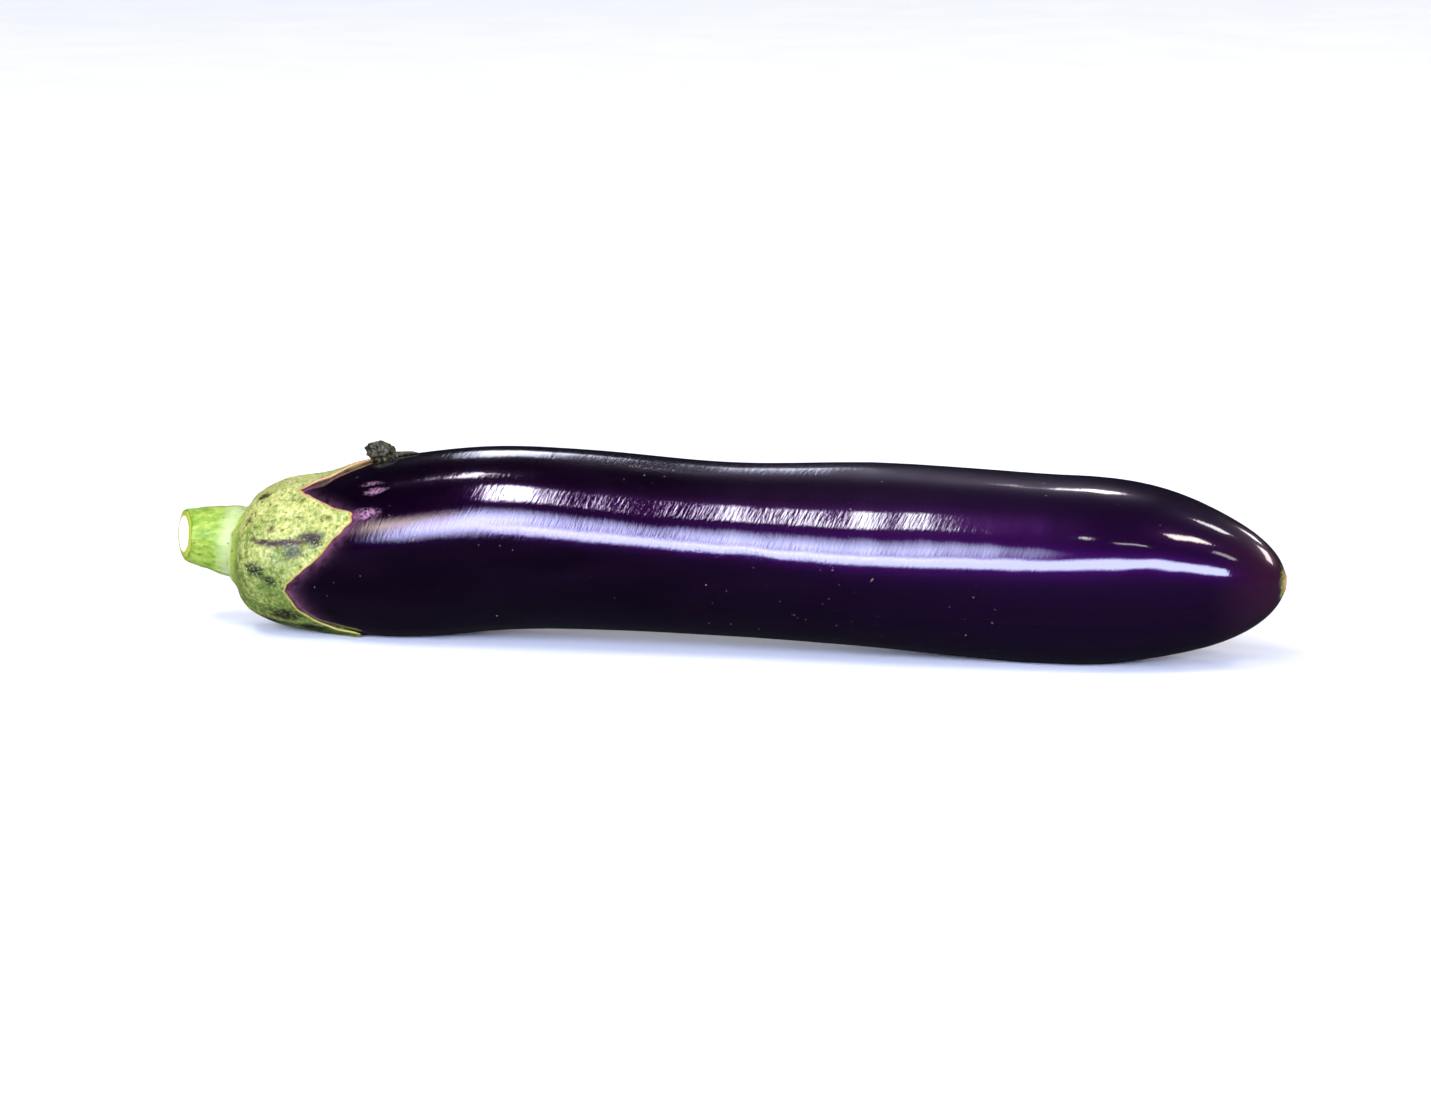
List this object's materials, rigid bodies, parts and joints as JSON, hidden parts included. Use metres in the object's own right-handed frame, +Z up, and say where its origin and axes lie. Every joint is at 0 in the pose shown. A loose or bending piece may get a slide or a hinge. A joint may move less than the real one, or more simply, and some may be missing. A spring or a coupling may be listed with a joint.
{
  "type": "eggplant",
  "caption": "Long glossy purple eggplant lying on its side, gently arched, with a green calyx of pointed sepals over its stem end and a short cut stem.",
  "frame": {"origin": "on the surface that the eggplant rests on, under the middle of the box around it", "axes": "+X along the fruit from the stem end to the blossom end, +Z up from the resting surface, +Y to the left of someone looking along +X"},
  "size_m": [0.3072, 0.0528, 0.0533],
  "materials": {
    "skin": "polished",
    "sepal": "satin",
    "stalk": "satin"
  },
  "bodies": {
    "root": {"fruit": "skin", "calyx": "sepal", "stem": "stalk"}
  },
  "joints": []
}
